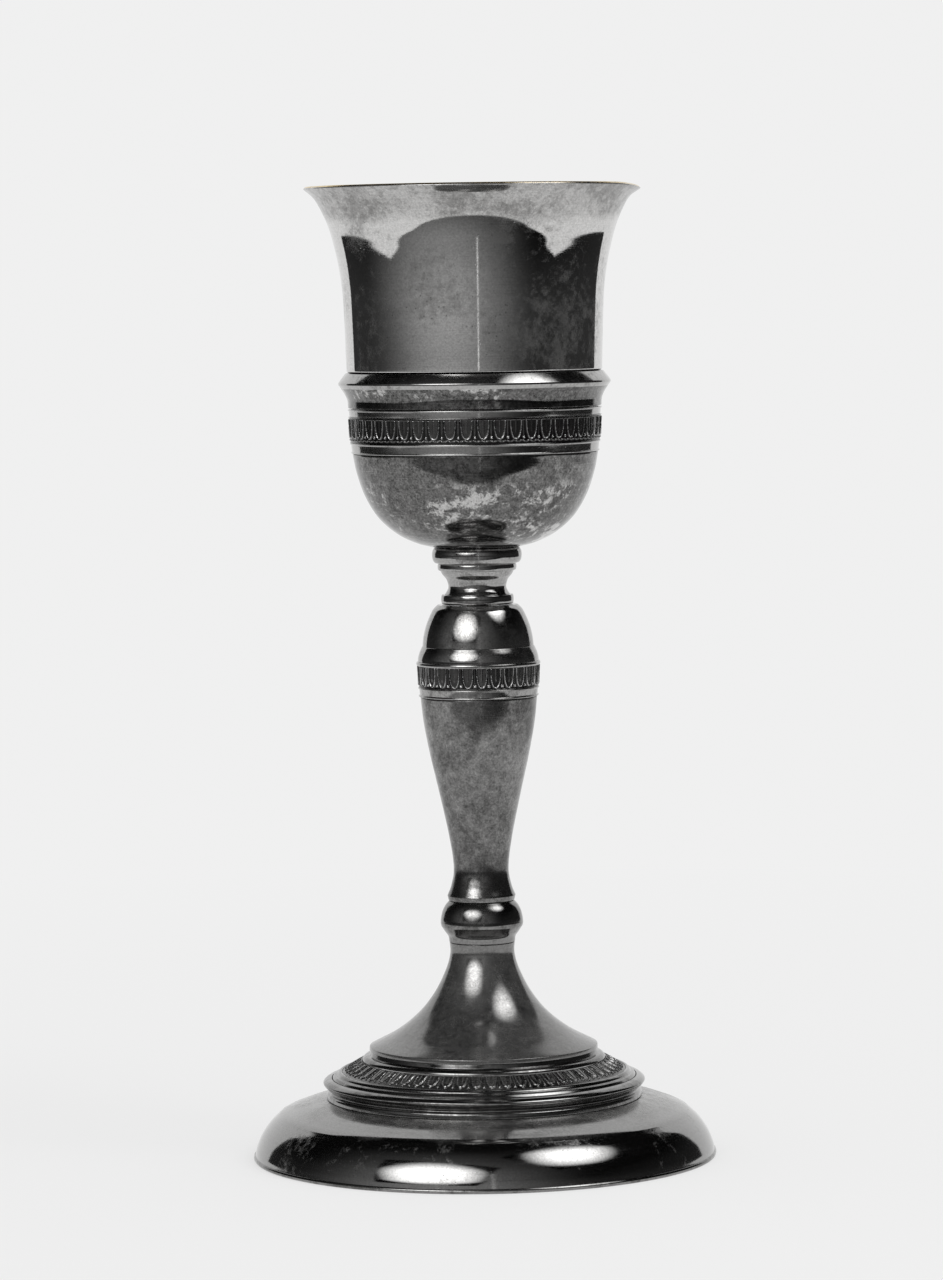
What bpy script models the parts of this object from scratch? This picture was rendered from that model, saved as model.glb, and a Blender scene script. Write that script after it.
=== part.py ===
"""A neoclassical silver altar cup: a flared cup in a banded calyx, a baluster stem and a stepped round foot.

Every piece is turned about the same upright axis. The stem's pieces are strung on a tie rod, which is screwed
into a boss under the cup and drawn tight by a nut and a bearing plate inside the hollow foot.
Lengths are in millimetres here, and MM turns them into Blender's metres. The table is at z = 0.
"""

import math

import bmesh
import bpy
from mathutils import Vector

MM = 0.001

# Driving dimensions
HEIGHT = 265.0
LIP_R = 46.0
CUP_R = 35.0
CALYX_R = 34.2
CALYX_RIM_R = 37.1
COLLAR_R = 12.3
NECK_R = 7.9
KNOP_R = 16.6
WAIST_R = 7.5
RING_KNOP_R = 11.3
TRUMPET_TOP_R = 8.9
TRUMPET_R = 31.1
STEP_R = 44.0
BASE_R = 63.2

# Heights of the joints between the pieces
CALYX_RIM_TOP = 214.2
CALYX_RIM_FOOT = 204.9
CALYX_FOOT = 166.6
COLLAR_FOOT = 162.3
NECK_TOP = 160.0
NECK_FOOT = 153.7
DOME_TOP = 150.8
DOME_FOOT = 139.6
KNOP_BAND_TOP = 134.1
KNOP_BAND_FOOT = 128.6
KNOP_BODY_TOP = 125.6
KNOP_BODY_FOOT = 70.0
TRUMPET_TOP = 58.5
TRUMPET_FOOT = 29.4
STEP_FOOT = 19.3
BASE_TOP = 16.3
FOOT_WIRE_TOP = 1.1

# Sheet thicknesses, the rise of the lip's edge above its outer corner, and the clearance between pieces that touch
CUP_WALL = 0.9
LIP_EDGE = 0.69
CALYX_WALL = 0.7
KNOP_WALL = 0.9
FOOT_WALL = 1.0
BAND_WALL = 0.6
GAP = 0.3

# The tie rod and its fastenings
ROD_R = 3.0
ROD_TOP = 166.2
ROD_FOOT = 26.0
ROD_HOLE_R = 3.3
STEM_BORE_R = 4.6
BOSS_R = 6.1
BOSS_HOLE_R = 6.5
PLATE_TOP = 40.0
PLATE_THICKNESS = 1.6
NUT_FLAT_R = 5.5
NUT_HEIGHT = 5.0
NUT_BORE_R = 3.08

# Segments round the axis
WIDE_STEPS = 32
STEM_STEPS = 20
ROD_STEPS = 16

SILVER = ("silver", (0.72, 0.71, 0.69), 0.22, 1.0)
CUP_SILVER = ("cup_silver", (0.76, 0.75, 0.73), 0.18, 1.0)
CHASED_SILVER = ("chased_silver", (0.50, 0.49, 0.47), 0.35, 1.0)
STEEL = ("rod_steel", (0.30, 0.29, 0.28), 0.50, 1.0)
BRASS = ("nut_brass", (0.62, 0.48, 0.25), 0.40, 1.0)


def clear_scene():
    for obj in list(bpy.data.objects):
        bpy.data.objects.remove(obj)


def make_collection(name):
    collection = bpy.data.collections.new(name)
    bpy.context.scene.collection.children.link(collection)
    return collection


def make_material(name, colour, roughness, metallic):
    if name in bpy.data.materials:
        return bpy.data.materials[name]
    material = bpy.data.materials.new(name)
    material.use_nodes = True
    shader = material.node_tree.nodes["Principled BSDF"]
    shader.inputs["Base Color"].default_value = (*colour, 1.0)
    shader.inputs["Roughness"].default_value = roughness
    shader.inputs["Metallic"].default_value = metallic
    return material


def flow(points, count):
    """count points evenly spread on a smooth curve through the given (radius, height) points."""
    ends = [2 * Vector(points[0]) - Vector(points[1]), 2 * Vector(points[-1]) - Vector(points[-2])]
    knots = [ends[0], *[Vector(p) for p in points], ends[1]]
    curve = []
    for index in range(count):
        place = index / (count - 1) * (len(points) - 1)
        span = min(int(place), len(points) - 2)
        t = place - span
        a, b, c, d = knots[span : span + 4]
        cubic = (3 * b - a - 3 * c + d) * t**3
        square = (2 * a - 5 * b + 4 * c - d) * t**2
        curve.append((2 * b + (c - a) * t + square + cubic) / 2)
    return [(p.x, p.y) for p in curve]


def bead(outer_r, bow, low, high, count):
    """Points down the half-round outside of a ring that stands out by bow from low to high."""
    middle = (low + high) / 2
    half = (high - low) / 2
    angles = [math.pi * index / (count - 1) for index in range(count)]
    return [(outer_r - bow * (1 - math.sin(a)), middle + half * math.cos(a)) for a in angles]


def turn(name, outline, closed, steps, look):
    """An object turned from an outline that runs down its outer side at +X."""
    mesh = bpy.data.meshes.new(name)
    points = [(r * MM, 0.0, z * MM) for r, z in outline]
    edges = [(index, index + 1) for index in range(len(points) - 1)]
    if closed:
        edges.append((len(points) - 1, 0))
    mesh.from_pydata(points, edges, [])
    obj = bpy.data.objects.new(name, mesh)
    mesh.materials.append(make_material(*look))
    parts.objects.link(obj)
    screw = obj.modifiers.new("turn", "SCREW")
    screw.axis = "Z"
    screw.angle = 2 * math.pi
    screw.steps = steps
    screw.render_steps = steps
    screw.use_merge_vertices = True
    screw.merge_threshold = 0.00005
    screw.use_smooth_shade = True
    return obj


def turned_shell(name, outline, wall, steps, look):
    """A spun sheet whose outside is the outline, with its wall to the inside."""
    obj = turn(name, outline, False, steps, look)
    solidify = obj.modifiers.new("wall", "SOLIDIFY")
    solidify.thickness = wall * MM
    solidify.offset = -1.0
    solidify.use_even_offset = True
    solidify.use_rim = True
    return obj


def turned_ring(name, outside, inside, steps, look):
    """A solid ring: its outside outline runs down, and its inside outline runs back up."""
    return turn(name, outside + inside, True, steps, look)


def make_cylinder(name, radius, low, high, segments):
    """An upright cylinder on the axis, from a bmesh primitive."""
    mesh = bpy.data.meshes.new(name)
    solid = bmesh.new()
    bmesh.ops.create_cone(
        solid,
        cap_ends=True,
        segments=segments,
        radius1=radius * MM,
        radius2=radius * MM,
        depth=(high - low) * MM,
    )
    solid.to_mesh(mesh)
    solid.free()
    obj = bpy.data.objects.new(name, mesh)
    obj.location.z = (low + high) / 2 * MM
    return obj


def cup_bowl():
    lip_and_wall = flow(
        [
            (LIP_R, HEIGHT - LIP_EDGE),
            (LIP_R - 3.0, HEIGHT - 3.4),
            (CUP_R + 5.2, HEIGHT - 8.2),
            (CUP_R + 2.7, HEIGHT - 16.5),
            (CUP_R + 1.0, HEIGHT - 25.0),
            (CUP_R + 0.1, HEIGHT - 41.0),
            (CUP_R - 0.2, CALYX_RIM_TOP + 0.5),
        ],
        11,
    )
    shoulder = [(CUP_R - 2.0, CALYX_RIM_TOP - 1.3)]
    inner_r = CALYX_R - 1.9
    bowl = flow(
        [
            (inner_r, CALYX_RIM_FOOT - 0.4),
            (inner_r - 0.7, 193.0),
            (inner_r - 2.6, 183.5),
            (inner_r - 8.5, 174.9),
            (inner_r - 19.5, CALYX_FOOT + 2.9),
            (0.0, CALYX_FOOT + 1.8),
        ],
        9,
    )
    turned_shell("cup_bowl", lip_and_wall + shoulder + bowl, CUP_WALL, WIDE_STEPS, CUP_SILVER)


def cup_boss():
    top = CALYX_FOOT + 1.5
    foot = NECK_TOP + GAP
    blind = ROD_TOP + GAP
    outside = [(0.0, top), (BOSS_R, top), (BOSS_R, foot)]
    inside = [(ROD_HOLE_R, foot), (ROD_HOLE_R, blind), (0.0, blind)]
    turn("cup_boss", outside + inside, False, ROD_STEPS, SILVER)


def calyx_shell():
    seat_top = CALYX_RIM_FOOT - GAP
    seat_foot = 192.2
    band_seat = [(CALYX_R - 0.75, seat_top), (CALYX_R - 1.45, seat_foot)]
    belly = flow(
        [
            (CALYX_R - 0.75, seat_foot),
            (32.4, 187.0),
            (30.2, 180.6),
            (26.6, 174.7),
            (21.6, 170.3),
            (16.6, 167.8),
            (COLLAR_R, CALYX_FOOT),
        ],
        9,
    )
    sole = [(BOSS_HOLE_R, CALYX_FOOT)]
    turned_shell("calyx_shell", band_seat + belly + sole, CALYX_WALL, WIDE_STEPS, SILVER)


def calyx_rim_moulding():
    bevel = [(CUP_R + 0.1, CALYX_RIM_TOP), (CALYX_RIM_R, 211.6), (CALYX_RIM_R, 211.1)]
    cavetto = flow([(36.4, 210.1), (35.2, 207.9), (34.5, CALYX_RIM_FOOT)], 4)
    inside_r = CALYX_R - 0.8
    inside = [(inside_r, CALYX_RIM_FOOT), (inside_r, CALYX_RIM_TOP - 1.7)]
    turned_ring("calyx_rim_moulding", bevel + cavetto, inside, WIDE_STEPS, SILVER)


def calyx_upper_wire():
    top = CALYX_RIM_FOOT - 2 * GAP
    foot = 202.5
    outside = bead(CALYX_R + 0.45, 0.3, top - 0.8, top, 4) + [(CALYX_R, foot)]
    inside_r = CALYX_R - 0.45
    turned_ring("calyx_upper_wire", outside, [(inside_r, foot), (inside_r, top)], WIDE_STEPS, SILVER)


def calyx_frieze_band():
    top = 202.2
    foot = 195.5
    outside = [(CALYX_R + 0.2, top), (CALYX_R + 0.2, 201.1), (CALYX_R, 200.9), (CALYX_R - 0.2, foot)]
    inside = [(CALYX_R - 0.7, foot), (CALYX_R - 0.45, top)]
    turned_ring("calyx_frieze_band", outside, inside, WIDE_STEPS, CHASED_SILVER)


def calyx_lower_wire():
    top = 195.2
    foot = 192.5
    upper_bead = bead(CALYX_R - 0.1, 0.3, 194.3, top, 3)
    lower_bead = bead(CALYX_R - 0.4, 0.25, foot, 193.3, 3)
    inside = [(CALYX_R - 1.1, foot), (CALYX_R - 0.85, top)]
    turned_ring("calyx_lower_wire", upper_bead + lower_bead, inside, WIDE_STEPS, SILVER)


def stem_top_collar():
    top = CALYX_FOOT - GAP
    outside = bead(COLLAR_R, 1.0, COLLAR_FOOT, top, 6)
    inside = [(BOSS_HOLE_R, COLLAR_FOOT), (BOSS_HOLE_R, top)]
    turned_ring("stem_top_collar", outside, inside, STEM_STEPS, SILVER)


def stem_collar_fillet():
    top = COLLAR_FOOT - GAP
    foot = NECK_TOP + GAP
    outside = bead(10.8, 0.3, foot, top, 4)
    inside = [(BOSS_HOLE_R, foot), (BOSS_HOLE_R, top)]
    turned_ring("stem_collar_fillet", outside, inside, STEM_STEPS, SILVER)


def stem_neck():
    scotia = flow(
        [(10.1, NECK_TOP), (9.5, 159.0), (8.4, 157.6), (NECK_R, 155.8), (8.2, 154.7), (8.9, NECK_FOOT)],
        8,
    )
    inside = [(STEM_BORE_R, NECK_FOOT), (STEM_BORE_R, NECK_TOP)]
    turned_ring("stem_neck", scotia, inside, STEM_STEPS, SILVER)


def neck_fillet_ring():
    top = NECK_FOOT - GAP
    foot = DOME_TOP + GAP
    outside = bead(9.95, 0.3, foot, top, 4)
    inside = [(STEM_BORE_R, foot), (STEM_BORE_R, top)]
    turned_ring("neck_fillet_ring", outside, inside, STEM_STEPS, SILVER)


def knop_dome():
    crown = [(STEM_BORE_R, DOME_TOP)]
    dome = flow([(10.9, DOME_TOP), (12.3, 149.3), (13.9, 145.8), (14.8, 142.5), (15.2, DOME_FOOT)], 7)
    turned_shell("knop_dome", crown + dome, KNOP_WALL, STEM_STEPS, SILVER)


def knop_shoulder_moulding():
    top = DOME_FOOT - GAP
    foot = 135.5
    torus = flow([(15.3, top), (16.0, 137.9), (16.4, 136.5), (16.5, foot)], 5)
    inside_r = KNOP_R - 2.0
    turned_ring("knop_shoulder_moulding", torus, [(inside_r, foot), (inside_r, top)], STEM_STEPS, SILVER)


def knop_upper_wire():
    top = 135.2
    foot = KNOP_BAND_TOP + GAP
    inside_r = KNOP_R - 2.0
    outside = bead(KNOP_R + 0.35, 0.3, foot, top, 3)
    turned_ring("knop_upper_wire", outside, [(inside_r, foot), (inside_r, top)], STEM_STEPS, SILVER)


def knop_frieze_band():
    outside = [(KNOP_R, KNOP_BAND_TOP), (KNOP_R - 0.25, KNOP_BAND_FOOT)]
    inside_r = KNOP_R - BAND_WALL - GAP
    inside = [(inside_r, KNOP_BAND_FOOT), (inside_r, KNOP_BAND_TOP)]
    turned_ring("knop_frieze_band", outside, inside, STEM_STEPS, CHASED_SILVER)


def knop_lower_wire():
    top = KNOP_BAND_FOOT - GAP
    foot = KNOP_BODY_TOP + GAP
    upper_bead = bead(KNOP_R - 0.1, 0.3, top - 0.9, top, 3)
    lower_bead = bead(KNOP_R - 0.25, 0.3, foot, foot + 0.9, 3)
    inside_r = KNOP_R - BAND_WALL - GAP
    inside = [(inside_r, foot), (inside_r, top)]
    turned_ring("knop_lower_wire", upper_bead + lower_bead, inside, STEM_STEPS, SILVER)


def knop_body():
    seat_r = KNOP_R - BAND_WALL - 2 * GAP
    seat = [(seat_r, KNOP_BAND_TOP), (seat_r, KNOP_BODY_TOP)]
    baluster = flow(
        [
            (KNOP_R - 0.7, KNOP_BODY_TOP),
            (15.2, 119.0),
            (13.6, 110.3),
            (11.1, 99.2),
            (8.6, 87.4),
            (WAIST_R, 79.0),
            (8.2, 74.2),
            (9.3, 71.3),
        ],
        11,
    )
    sole = [(9.0, KNOP_BODY_FOOT), (STEM_BORE_R, KNOP_BODY_FOOT)]
    turned_shell("knop_body", seat + baluster + sole, KNOP_WALL, STEM_STEPS, SILVER)


def lower_ring_knop():
    top = KNOP_BODY_FOOT - GAP
    foot = TRUMPET_TOP + GAP
    ovolo = flow([(8.9, top), (10.2, 67.2), (11.1, 65.2), (RING_KNOP_R, 63.8)], 5)
    cavetto = flow([(RING_KNOP_R - 0.15, 63.0), (10.1, 61.4), (9.2, 60.1), (9.0, foot)], 4)
    inside = [(STEM_BORE_R, foot), (STEM_BORE_R, top)]
    turned_ring("lower_ring_knop", ovolo + cavetto, inside, STEM_STEPS, SILVER)


def foot_trumpet():
    crown = [(STEM_BORE_R, TRUMPET_TOP)]
    flare = flow(
        [
            (TRUMPET_TOP_R, TRUMPET_TOP),
            (TRUMPET_TOP_R - 0.1, 55.4),
            (10.0, 51.1),
            (13.1, 44.9),
            (17.6, 39.2),
            (23.9, 34.2),
            (TRUMPET_R, TRUMPET_FOOT + 1.1),
        ],
        10,
    )
    lip = [(TRUMPET_R + 0.1, TRUMPET_FOOT)]
    turned_shell("foot_trumpet", crown + flare + lip, FOOT_WALL, WIDE_STEPS, SILVER)


def foot_step_moulding():
    top = TRUMPET_FOOT - GAP
    outside = [(30.9, top), (31.1, 28.1), (32.5, 27.7), (33.2, 26.8)]
    inside = [(32.0, 26.0), (29.9, 27.6), (29.9, top)]
    turned_ring("foot_step_moulding", outside, inside, WIDE_STEPS, SILVER)


def foot_frieze_band():
    outside = [(33.5, 26.5), (38.6, 23.6)]
    inside = [(38.2, 22.9), (33.1, 25.8)]
    turned_ring("foot_frieze_band", outside, inside, WIDE_STEPS, CHASED_SILVER)


def foot_frieze_wire():
    outside = [(39.0, 23.6), (39.7, 23.4), (40.2, 22.7), (41.1, 22.4), (41.4, 21.9)]
    inside = [(40.9, 21.3), (38.6, 22.7)]
    turned_ring("foot_frieze_wire", outside, inside, WIDE_STEPS, SILVER)


def foot_torus():
    round_side = flow([(41.8, 21.9), (43.1, 21.5), (STEP_R, 20.5), (42.9, STEP_FOOT)], 6)
    inside = [(41.4, STEP_FOOT), (41.3, 21.0)]
    turned_ring("foot_torus", round_side, inside, WIDE_STEPS, SILVER)


def foot_scotia_ring():
    top = STEP_FOOT - GAP
    foot = BASE_TOP + GAP
    hollow = flow([(42.8, top), (42.2, 18.4), (42.9, 17.7), (43.1, foot)], 5)
    inside_r = STEP_R - 2.8
    turned_ring("foot_scotia_ring", hollow, [(inside_r, foot), (inside_r, top)], WIDE_STEPS, SILVER)


def base_skirt():
    top = [(38.5, BASE_TOP), (43.4, BASE_TOP), (49.0, 14.8), (54.4, 12.9)]
    skirt = flow([(55.8, 12.2), (58.6, 9.6), (60.9, 6.4), (62.3, 3.2), (BASE_R - 0.4, FOOT_WIRE_TOP + GAP)], 6)
    turned_shell("base_skirt", top + skirt, FOOT_WALL, WIDE_STEPS, SILVER)


def base_foot_wire():
    outside = [(BASE_R - 0.3, FOOT_WIRE_TOP), (BASE_R, FOOT_WIRE_TOP - 0.3), (BASE_R, 0.3), (BASE_R - 0.2, 0.0)]
    inside_r = BASE_R - 2.8
    inside = [(inside_r, 0.0), (inside_r, FOOT_WIRE_TOP)]
    turned_ring("base_foot_wire", outside, inside, WIDE_STEPS, SILVER)


def tie_rod():
    obj = make_cylinder("tie_rod", ROD_R, ROD_FOOT, ROD_TOP, ROD_STEPS)
    obj.data.materials.append(make_material(*STEEL))
    obj.data.shade_smooth()
    obj.data.set_sharp_from_angle(angle=math.radians(30))
    parts.objects.link(obj)


def bearing_plate():
    foot = PLATE_TOP - PLATE_THICKNESS
    outside = [(14.8, PLATE_TOP), (16.0, foot)]
    inside = [(ROD_HOLE_R, foot), (ROD_HOLE_R, PLATE_TOP)]
    turned_ring("bearing_plate", outside, inside, STEM_STEPS, BRASS)


def foot_nut():
    top = PLATE_TOP - PLATE_THICKNESS - GAP
    foot = top - NUT_HEIGHT
    corner_r = NUT_FLAT_R / math.cos(math.radians(30))
    nut = make_cylinder("foot_nut", corner_r, foot, top, 6)
    nut.data.materials.append(make_material(*BRASS))
    parts.objects.link(nut)
    bore = make_cylinder("nut_bore_cutter", NUT_BORE_R, foot - 1.0, top + 1.0, ROD_STEPS)
    bore.display_type = "WIRE"
    bore.hide_render = True
    cutters.objects.link(bore)
    cut = nut.modifiers.new("bore", "BOOLEAN")
    cut.object = bore
    cut.operation = "DIFFERENCE"
    cut.solver = "EXACT"


clear_scene()
parts = make_collection("altar_cup")
cutters = make_collection("cutters")

for build_piece in (
    cup_bowl,
    cup_boss,
    calyx_shell,
    calyx_rim_moulding,
    calyx_upper_wire,
    calyx_frieze_band,
    calyx_lower_wire,
    stem_top_collar,
    stem_collar_fillet,
    stem_neck,
    neck_fillet_ring,
    knop_dome,
    knop_shoulder_moulding,
    knop_upper_wire,
    knop_frieze_band,
    knop_lower_wire,
    knop_body,
    lower_ring_knop,
    foot_trumpet,
    foot_step_moulding,
    foot_frieze_band,
    foot_frieze_wire,
    foot_torus,
    foot_scotia_ring,
    base_skirt,
    base_foot_wire,
    tie_rod,
    bearing_plate,
    foot_nut,
):
    build_piece()
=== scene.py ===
"""The altar cup's looks: finely turned silver with stamped friezes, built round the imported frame.

Each visible CAD node is replaced by a fine piece of the same size. Outlines are in millimetres, as
(radius, height), and they run down the outer side of a piece and back up its inner side. Heights and
radii come from the nodes' boxes.
"""

import math

import bmesh
import bpy
import numpy as np
from mathutils import Matrix, Vector

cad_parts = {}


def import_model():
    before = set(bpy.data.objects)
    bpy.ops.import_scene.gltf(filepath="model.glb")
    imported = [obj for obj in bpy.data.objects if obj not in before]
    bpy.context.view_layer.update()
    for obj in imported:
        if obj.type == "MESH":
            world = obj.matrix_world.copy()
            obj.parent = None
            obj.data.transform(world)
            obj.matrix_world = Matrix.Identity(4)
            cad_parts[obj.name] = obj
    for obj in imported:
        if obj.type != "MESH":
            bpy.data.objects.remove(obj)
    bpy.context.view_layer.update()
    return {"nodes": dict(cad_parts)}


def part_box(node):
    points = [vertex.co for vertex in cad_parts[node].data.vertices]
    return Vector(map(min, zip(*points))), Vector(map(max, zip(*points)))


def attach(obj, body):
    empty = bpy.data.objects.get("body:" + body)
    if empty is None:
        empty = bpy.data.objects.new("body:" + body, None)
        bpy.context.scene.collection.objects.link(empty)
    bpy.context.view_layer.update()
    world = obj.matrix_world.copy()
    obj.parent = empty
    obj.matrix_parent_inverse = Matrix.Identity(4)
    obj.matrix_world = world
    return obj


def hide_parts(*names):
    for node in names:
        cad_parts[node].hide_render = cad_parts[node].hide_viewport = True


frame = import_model()

MM = 0.001
CHALICE = "chalice"

# Fineness of the turned pieces
WIDE_SEGMENTS = 320
STEM_SEGMENTS = 224

# Corners that turn by more than SHARP_TURN get a round edge of the radius EDGE
EDGE = 0.14
SHARP_TURN = math.radians(24)

# The CAD keeps a clearance of 0.3 mm between pieces. Each fine piece grows by just under half of it, so
# soldered neighbours look joined and don't overlap.
SEAM = 0.14

# A point this near the axis is on it
ON_AXIS = 1e-6

# The level of a stamped band's ground, as a share of the relief's depth
GROUND = 0.35

# Sheet thicknesses
CUP_WALL = 0.9
CALYX_WALL = 0.7
KNOP_WALL = 0.9
FOOT_WALL = 1.0

# The tie rod's thread, and the bore that the stem's pieces slide on
THREAD_LENGTH = 32.0
THREAD_PITCH = 1.0
THREAD_DEPTH = 0.45
STEM_BORE_R = 4.6

# Light: the even white round the object, the dark room that it reflects, with its soft glow in front, and
# the white cards behind it
WHITE = 0.87
ROOM = 0.004
ROOM_GLOW = 0.42
GLOW_SPREAD = 2.5
ROOM_HAZE = 0.035
GLOW_TOWARD = (-0.42, -0.90, 0.08)
CARD = 0.85

# The white table and backdrop that the cup reflects, in metres: the left half of the table's front edge,
# and the extent of both
TABLE_EDGE = [(-0.79, 0.05), (-0.75, -0.21), (-0.60, -0.265), (-0.40, -0.29), (-0.10, -0.285)]
TABLE_Z = -0.002
BACKDROP_X = 0.95
BACKDROP_Y = 1.0
BACKDROP_TOP = 1.25

# The narrow upright slit of light in front of the cup
SLIT_LEFT = 0.10
SLIT_RIGHT = 0.118
SLIT_Y = -1.6
SLIT_FOOT = -0.6
SLIT_TOP = 1.2
SLIT_GLOW = 1.2

# The floor that shows: just under the cup, so that the foot doesn't touch it
FLOOR_Z = -0.0001
FLOOR_HALF = 9

# The camera, in metres
CAMERA_PLACE = (-0.0011, -1.435, 0.239)
CAMERA_AIM = (-0.0011, 0.0, 0.1899)
CAMERA_ROLL = math.radians(-0.8)
CAMERA_SHIFT = -0.14
LENS = 148.27


class Place:
    """Where a CAD node is: its top, its foot and its largest radius, in millimetres."""

    def __init__(self, node):
        low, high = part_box(node)
        self.top = high.z / MM
        self.foot = low.z / MM
        self.r = high.x / MM


# ---------------------------------------------------------------- outlines


def flow(points, count):
    """count points on a smooth curve through the given points."""
    knots = np.array(points, float)
    knots = np.vstack([2 * knots[0] - knots[1], knots, 2 * knots[-1] - knots[-2]])
    curve = []
    for place in np.linspace(0, len(points) - 1, count):
        span = min(int(place), len(points) - 2)
        t = place - span
        a, b, c, d = knots[span : span + 4]
        cubic = (3 * b - a - 3 * c + d) * t**3
        square = (2 * a - 5 * b + 4 * c - d) * t**2
        curve.append((2 * b + (c - a) * t + square + cubic) / 2)
    return [tuple(p) for p in curve]


def bead(outer_r, bow, low, high, count=14):
    """Points down the half-round outside of a wire that stands out by bow from low to high."""
    angles = np.linspace(0, math.pi, count)
    middle = (low + high) / 2
    half = (high - low) / 2
    return [(outer_r - bow * (1 - math.sin(a)), middle + half * math.cos(a)) for a in angles]


def rounded(loop, radius=EDGE):
    """The closed loop with each sharp corner turned into a short round edge."""
    points = [np.array(p, float) for p in loop]
    result = []
    for index, here in enumerate(points):
        if here[0] < ON_AXIS:
            result.append(here)
            continue
        before = points[index - 1] - here
        after = points[(index + 1) % len(points)] - here
        span_before = np.linalg.norm(before)
        span_after = np.linalg.norm(after)
        cosine = -np.dot(before, after) / (span_before * span_after)
        if math.acos(max(-1.0, min(1.0, cosine))) < SHARP_TURN:
            result.append(here)
            continue
        start = here + before / span_before * min(radius, 0.45 * span_before)
        end = here + after / span_after * min(radius, 0.45 * span_after)
        for t in np.linspace(0, 1, 5):
            result.append((1 - t) ** 2 * start + 2 * t * (1 - t) * here + t**2 * end)
    return result


def with_wall(outside, wall):
    """A sheet's closed outline: its outside down, and its inside, wall away, back up."""
    points = np.array(outside, float)
    steps = np.diff(points, axis=0)
    steps /= np.linalg.norm(steps, axis=1)[:, None]
    before = np.vstack([steps[:1], steps])
    after = np.vstack([steps, steps[-1:]])
    along = before + after
    along /= np.linalg.norm(along, axis=1)[:, None]
    inward = np.column_stack([along[:, 1], -along[:, 0]])
    stretch = 1 / np.maximum(np.sum(along * before, axis=1), 0.5)
    inner = points + inward * (wall * stretch)[:, None]
    inner[:, 0] = np.maximum(inner[:, 0], 0.0)
    return list(points) + list(inner[::-1])


# ---------------------------------------------------------------- meshes


def finish_mesh(name, mesh, materials, body, nodes, sharp):
    """Makes the mesh the fine piece for the nodes. Edges over sharp degrees stay sharp."""
    mesh.shade_smooth()
    mesh.set_sharp_from_angle(angle=math.radians(sharp))
    obj = bpy.data.objects.new(name, mesh)
    bpy.context.scene.collection.objects.link(obj)
    for material in materials:
        mesh.materials.append(material)
    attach(obj, body)
    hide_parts(*nodes)


def around(angles, radius, height):
    """Points [segment, point, xyz] at the angles round the axis, from each point's radius and height."""
    x = np.cos(angles)[:, None] * radius
    y = np.sin(angles)[:, None] * radius
    return np.stack([x, y, np.broadcast_to(height, x.shape)], axis=-1)


def swept_mesh(name, rings):
    """A closed mesh from rings[segment, point, xyz], which runs round the axis and round the loop."""
    segments, points = rings.shape[:2]
    index = np.arange(segments * points).reshape(segments, points)
    next_point = np.roll(index, -1, axis=1)
    across = np.roll(index, -1, axis=0)
    across_next = np.roll(across, -1, axis=1)
    quads = np.stack([index, next_point, across_next, across], axis=-1).reshape(-1, 4)
    mesh = bpy.data.meshes.new(name)
    mesh.from_pydata((rings.reshape(-1, 3) * MM).tolist(), [], quads.tolist())
    mesh.validate()
    return mesh


def weld_axis(mesh):
    """Joins the points that an outline puts on the axis."""
    solid = bmesh.new()
    solid.from_mesh(mesh)
    bmesh.ops.remove_doubles(solid, verts=solid.verts, dist=1e-7)
    loose = [edge for edge in solid.edges if not edge.link_faces]
    bmesh.ops.delete(solid, geom=loose, context="EDGES")
    solid.to_mesh(mesh)
    solid.free()


def turn(name, loop, segments, materials, node, body=CHALICE, slot="silver", shape=None, second_from=None):
    """Turns a closed outline about the axis, into the fine piece for the node.

    shape may move the points. The faces from the outline's point second_from on take the second material.
    """
    outline = np.array(loop, float)
    angles = np.linspace(0, 2 * math.pi, segments, endpoint=False)
    rings = around(angles, outline[:, 0], outline[:, 1])
    if shape:
        rings = shape(rings, angles)
    mesh = swept_mesh(name, rings)
    if second_from is not None:
        side = np.tile(np.arange(len(outline)) >= second_from, segments)
        mesh.polygons.foreach_set("material_index", side.astype(np.int32))
    if outline[:, 0].min() < ON_AXIS:
        weld_axis(mesh)
    finish_mesh(name, mesh, materials, body, [node], sharp=38)


# ---------------------------------------------------------------- stamped friezes


def ridge(distance, width):
    """A round-topped line of relief, 1 high, as a function of the distance from its middle."""
    return np.exp(-((distance / width) ** 2))


def step(value, low, high):
    """0 below low, 1 above high, and smooth between them."""
    t = np.clip((value - low) / (high - low), 0, 1)
    return t * t * (3 - 2 * t)


def tongue(x, y, half, length, rim):
    """A tongue open at the top (y = 0): a raised rim round a shallow hollow with a rib down its middle."""
    inside = (np.abs(x) / half) ** 2.2 + (np.clip(y, 0, None) / length) ** 2.4 - 1
    slope_across = 2.2 * np.abs(x) ** 1.2 / half**2.2
    slope_down = 2.4 * np.clip(y, 0, None) ** 1.4 / length**2.4
    slope = np.hypot(slope_across, slope_down)
    distance = inside / np.maximum(slope, 0.25 / half)
    rib = ridge(x, 0.6 * rim) * (1 - step(y, 0.55 * length, 0.75 * length))
    body = 0.35 * step(-distance, 0.2 * rim, 1.8 * rim) + 0.35 * rib
    return np.maximum(ridge(distance, rim), np.where(distance < 0, body, 0.0))


def round_bead(x, y, radius):
    """Half a ball, 1 high."""
    return np.sqrt(np.clip(1 - (x**2 + y**2) / radius**2, 0, None))


# One unit of each frieze, as its height from 0 to about 1. x runs across the unit from its middle, y down
# from the band's top edge, pitch is the unit's width and height the band's, all in millimetres.


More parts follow.
